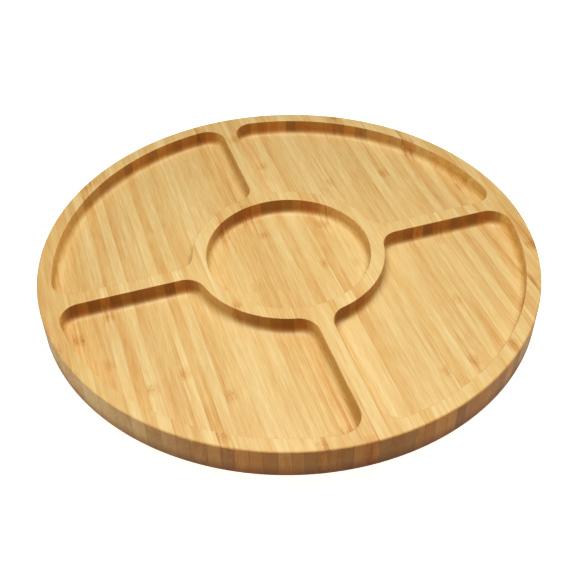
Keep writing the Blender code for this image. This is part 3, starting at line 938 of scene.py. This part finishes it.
def buildCage(settings):
    middle = (cageLow.z + cageHigh.z) / 2
    outer = cageHigh.x
    inner = 2 * bearingSettings["raceRadius"] - outer
    facets, pocket = settings["cageFacets"], settings["pocketRadius"]
    loops = [drawCircle("ballCage", (0, 0), radius, middle, facets) for radius in (outer, inner)]
    for node in settings["nodes"]:
        loops.append(drawCircle("ballPocket", middleOf(node), pocket, middle, settings["pocketFacets"]))
    joinPieces(loops)
    fillLevel(loops[0], middle)
    closeUp()
    bpy.ops.object.mode_set(mode="OBJECT")
    applyModifier(loops[0], "SOLIDIFY", thickness=cageHigh.z - cageLow.z, offset=0)
    softenEdges(loops[0], settings["cageEdge"])
    return finishPiece(loops[0])


def buildBall(settings):
    middle = middleOf(settings["nodes"][0])
    radius = settings["radius"]
    path = []
    for step in range(settings["profileSteps"] + 1):
        angle = math.pi * step / settings["profileSteps"]
        path.append((radius * math.sin(angle), middle.z - radius * math.cos(angle)))
    return finishPiece(turnProfile("ball1", path, settings["facets"], middle.xy), 60)


cage = buildCage(ballSettings)
standFor(cage, "ball_cage", "ball_set", naturalNylon)
makeSet(buildBall(ballSettings), "ball", ballSettings["nodes"], "ball_set", ballSteel)
print("ball cage:", len(cage.data.polygons), "faces, and", len(ballSettings["nodes"]), "balls")


# screws: pan heads with a cross recess, and threaded shanks

screwSettings = {
    "plate": {"head": 0.0034, "headHeight": 0.0018, "shank": 0.0018, "slot": 0.0008, "recess": 0.0011},
    "foot": {"head": 0.0032, "headHeight": 0.0012, "shank": 0.0015, "slot": 0.0007, "recess": 0.0007},
    "threadPitch": 0.0007,
    "threadDepth": 0.0004,
    "tip": 0.0020,
    "armShare": 0.46,
    "recessTaper": 0.6,
    "facets": 32,
}


def screwPath(size, seat, way, length):
    # from the middle of the head, over its dome, and up the thread to the tip
    head, headHeight, shank = size["head"], size["headHeight"], size["shank"]
    dome = ((0, 1), (0.55, 1), (0.78, 0.93), (0.92, 0.74), (1, 0.42), (1, 0.05), (0.97, 0))
    path = [(head * share, -headHeight * rise) for share, rise in dome]
    core = shank - screwSettings["threadDepth"]
    climb = screwSettings["threadPitch"]
    path += [(shank, 0), (shank, climb)]
    height = climb
    while height + climb < length - screwSettings["tip"]:
        path += [(core, height + climb * 0.35), (core, height + climb * 0.55), (shank, height + climb)]
        height += climb
    path += [(core, length - screwSettings["tip"]), (0, length)]
    return [(radius, seat + way * rise) for radius, rise in path]


def endsArm(axis, side):
    # picks the face that one arm of the cross recess grows from
    def isArmEnd(face):
        aside = face.calc_center_median()[1 - axis]
        return face.normal[axis] * side > 0.99 and abs(aside) < samePlace

    return isArmEnd


def buildScrew(name, size, node, way):
    # way is 1 for a head below its shank, and -1 for a head above it
    low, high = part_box(node)
    seat = low.z + size["headHeight"] if way > 0 else high.z - size["headHeight"]
    length = high.z - seat if way > 0 else seat - low.z
    place = middleOf(node).xy
    screw = turnProfile(name, screwPath(size, seat, way, length), screwSettings["facets"], place)
    headTop = seat - way * size["headHeight"]
    arm = size["head"] * screwSettings["armShare"]
    taper = screwSettings["recessTaper"]
    driver = startPrimitive(
        bpy.ops.mesh.primitive_cube_add, "driverBit", size=size["slot"], location=(*place, headTop)
    )
    bpy.ops.transform.resize(value=(1, 1, 2 * size["recess"] / size["slot"]))
    for axis in (0, 1):
        for side in (1, -1):
            pick(driver, "faces", endsArm(axis, side))
            move = [0, 0, 0]
            move[axis] = side * arm
            bpy.ops.mesh.extrude_region_move(TRANSFORM_OT_translate={"value": move})
    # the recess narrows towards its floor
    pick(driver, "faces", lambda face: face.normal.z * way > 0.99)
    bpy.ops.transform.resize(value=(taper, taper, 1), center_override=(*place, headTop))
    bpy.ops.object.mode_set(mode="OBJECT")
    onlySelect([driver])
    bpy.ops.object.transform_apply(location=True, rotation=True, scale=True)
    applyModifier(screw, "BOOLEAN", operation="DIFFERENCE", solver="EXACT", object=driver)
    onlySelect([driver])
    bpy.ops.object.delete()
    return finishPiece(screw)


trayScrew = buildScrew("trayScrew1", screwSettings["plate"], trayScrews[0], 1)
baseScrew = buildScrew("baseScrew1", screwSettings["plate"], baseScrews[0], -1)
footScrew = buildScrew("footScrew1", screwSettings["foot"], footScrews[0], 1)
screwFaces = [len(screw.data.polygons) for screw in (trayScrew, baseScrew, footScrew)]
makeSet(trayScrew, "trayScrew", trayScrews, "tray", screwSteel)
makeSet(baseScrew, "baseScrew", baseScrews, "base", screwSteel)
makeSet(footScrew, "footScrew", footScrews, "base", screwSteel)
print("screws:", screwFaces, "faces")


# rubber feet

footLow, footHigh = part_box(feet[0])
footSettings = {
    "tread": 0.0066,
    "flange": (footHigh.x - footLow.x) / 2,
    "top": footHigh.z,
    "bore": 0.0019,
    "seat": 0.0040,
    "seatHeight": 0.0020,
    "groove": 0.0003,
    "chamfer": 0.0006,
    "edgeRound": 0.0003,
    "chamferRound": 0.0004,
    "facets": 48,
}


def buildFoot(settings):
    tread, flange, top = settings["tread"], settings["flange"], settings["top"]
    bore, seat, seatHeight = settings["bore"], settings["seat"], settings["seatHeight"]
    middleTread = (tread + seat) / 2
    groove, chamfer = settings["groove"], settings["chamfer"]
    small, large = settings["edgeRound"], settings["chamferRound"]
    path = [
        (seat, 0, small),
        (middleTread - groove, 0, 0),
        (middleTread, groove, 0),
        (middleTread + groove, 0, 0),
        (tread, 0, small),
        (tread + chamfer, chamfer, large),
        (flange, top - chamfer, large),
        (flange - chamfer, top, small),
        (bore, top, 0),
        (bore, seatHeight, 0),
        (seat, seatHeight, 0),
    ]
    place = middleOf(feet[0]).xy
    foot = turnProfile("foot1", roundCorners(path, True, 3), settings["facets"], place, closed=True)
    return finishPiece(foot)


foot = buildFoot(footSettings)
footFaces = len(foot.data.polygons)
makeSet(foot, "foot", feet, "base", blackRubber)
print("feet:", footFaces, "faces each")


# studio: floor, light and camera

studioSettings = {
    "floorSize": 12.0,
    "floorTone": (0.80, 0.80, 0.80, 1),
    "floorGlow": 0.86,
    "worldTone": (1.0, 0.985, 0.96, 1),
    "worldStrength": 0.12,
    "worldSeen": 1.0,
    "lampPlace": (-0.02, -0.10, 0.62),
    "lampSize": (0.45, 0.55),
    "lampWatts": 4.55,
    "lampTone": (1.0, 0.985, 0.96),
    "underPlace": (0.0, 0.0, -0.40),
    "underSize": (0.24, 0.24),
    "underWatts": 1.1,
    "sidePlace": (0.95, -0.30, 0.10),
    "sideTarget": (0.0, 0.0, 0.02),
    "sideSize": (0.30, 0.16),
    "sideWatts": 1.6,
}


def buildFloor(settings):
    floor = startPrimitive(bpy.ops.mesh.primitive_plane_add, "studioFloor", size=settings["floorSize"])
    bpy.ops.mesh.subdivide(number_cuts=4)
    bpy.ops.object.mode_set(mode="OBJECT")
    paint, nodes, links, shader = newMaterial("studioPaper")
    shader.inputs["Roughness"].default_value = 0.9
    shader.inputs["Specular IOR Level"].default_value = 0.1
    shader.inputs["Base Color"].default_value = settings["floorTone"]
    # the paper glows for the camera alone, so that it looks white without lighting the object
    w = Wiring(paint.node_tree)
    sight = nodes.new("ShaderNodeLightPath")
    glow = w.math("MULTIPLY", sight.outputs["Is Camera Ray"], settings["floorGlow"])
    links.new(glow, shader.inputs["Emission Strength"])
    shader.inputs["Emission Color"].default_value = (1, 1, 1, 1)
    # from beneath it is clear, to the eye and to the lamp below, so that the underside can be looked at
    side = nodes.new("ShaderNodeNewGeometry")
    isClear = w.math("MAXIMUM", side.outputs["Backfacing"], sight.outputs["Is Shadow Ray"])
    clear = nodes.new("ShaderNodeBsdfTransparent")
    choice = nodes.new("ShaderNodeMixShader")
    links.new(isClear, choice.inputs[0])
    links.new(shader.outputs[0], choice.inputs[1])
    links.new(clear.outputs[0], choice.inputs[2])
    links.new(choice.outputs[0], nodes["Material Output"].inputs["Surface"])
    floor.data.materials.append(paint)


def buildLamp(name, place, size, watts, settings, target=None):
    bpy.ops.object.select_all(action="DESELECT")
    bpy.ops.object.light_add(type="AREA", location=place)
    lamp = bpy.context.active_object
    lamp.name = name
    lamp.data.shape = "RECTANGLE"
    lamp.data.size, lamp.data.size_y = size
    lamp.data.energy = watts
    lamp.data.color = settings["lampTone"]
    lamp.visible_camera = False
    if target:
        lamp.rotation_euler = (target - Vector(place)).to_track_quat("-Z", "Y").to_euler()


def buildLight(settings):
    world = bpy.data.worlds.new("studioAir")
    world.use_nodes = True
    air = world.node_tree.nodes["Background"]
    air.inputs["Color"].default_value = settings["worldTone"]
    # the camera sees a white room, and the object only a little light from it
    w = Wiring(world.node_tree)
    sight = w.add("LightPath", output="Is Camera Ray")
    dim, seen = settings["worldStrength"], settings["worldSeen"]
    world.node_tree.links.new(w.math("MULTIPLY_ADD", sight, seen - dim, dim), air.inputs["Strength"])
    bpy.context.scene.world = world
    place, size = settings["lampPlace"], settings["lampSize"]
    buildLamp("overheadSoftbox", place, size, settings["lampWatts"], settings)
    # low lamps at each side lighten the outer wall there
    across, along, up = settings["sidePlace"]
    for name, side in (("rightSoftbox", 1), ("leftSoftbox", -1)):
        place = (side * across, along, up)
        target = Vector(settings["sideTarget"])
        buildLamp(name, place, settings["sideSize"], settings["sideWatts"], settings, target)
    # a small lamp under the floor reaches only faces that look down
    above = Vector((0, 0, 1))
    place, size = settings["underPlace"], settings["underSize"]
    buildLamp("underLamp", place, size, settings["underWatts"], settings, above)


cameraSettings = {
    "place": (-0.1503, -0.4664, 0.4707),
    "target": (-0.0126, -0.0367, traySettings["top"]),
    "lens": 57.4,
    "sensor": 36.0,
    "rollDegrees": -0.91,
}


def buildCamera(settings):
    place = Vector(settings["place"])
    aim = (Vector(settings["target"]) - place).to_track_quat("-Z", "Y").to_matrix().to_4x4()
    roll = Matrix.Rotation(math.radians(settings["rollDegrees"]), 4, "Z")
    bpy.ops.object.camera_add()
    camera = bpy.context.active_object
    camera.name = "studioCamera"
    camera.matrix_world = Matrix.Translation(place) @ aim @ roll
    camera.data.sensor_width = settings["sensor"]
    camera.data.lens = settings["lens"]
    bpy.context.scene.camera = camera


buildFloor(studioSettings)
buildLight(studioSettings)
buildCamera(cameraSettings)
bpy.context.scene.view_settings.view_transform = "Standard"
bpy.context.scene.view_settings.look = "None"
print("studio ready")
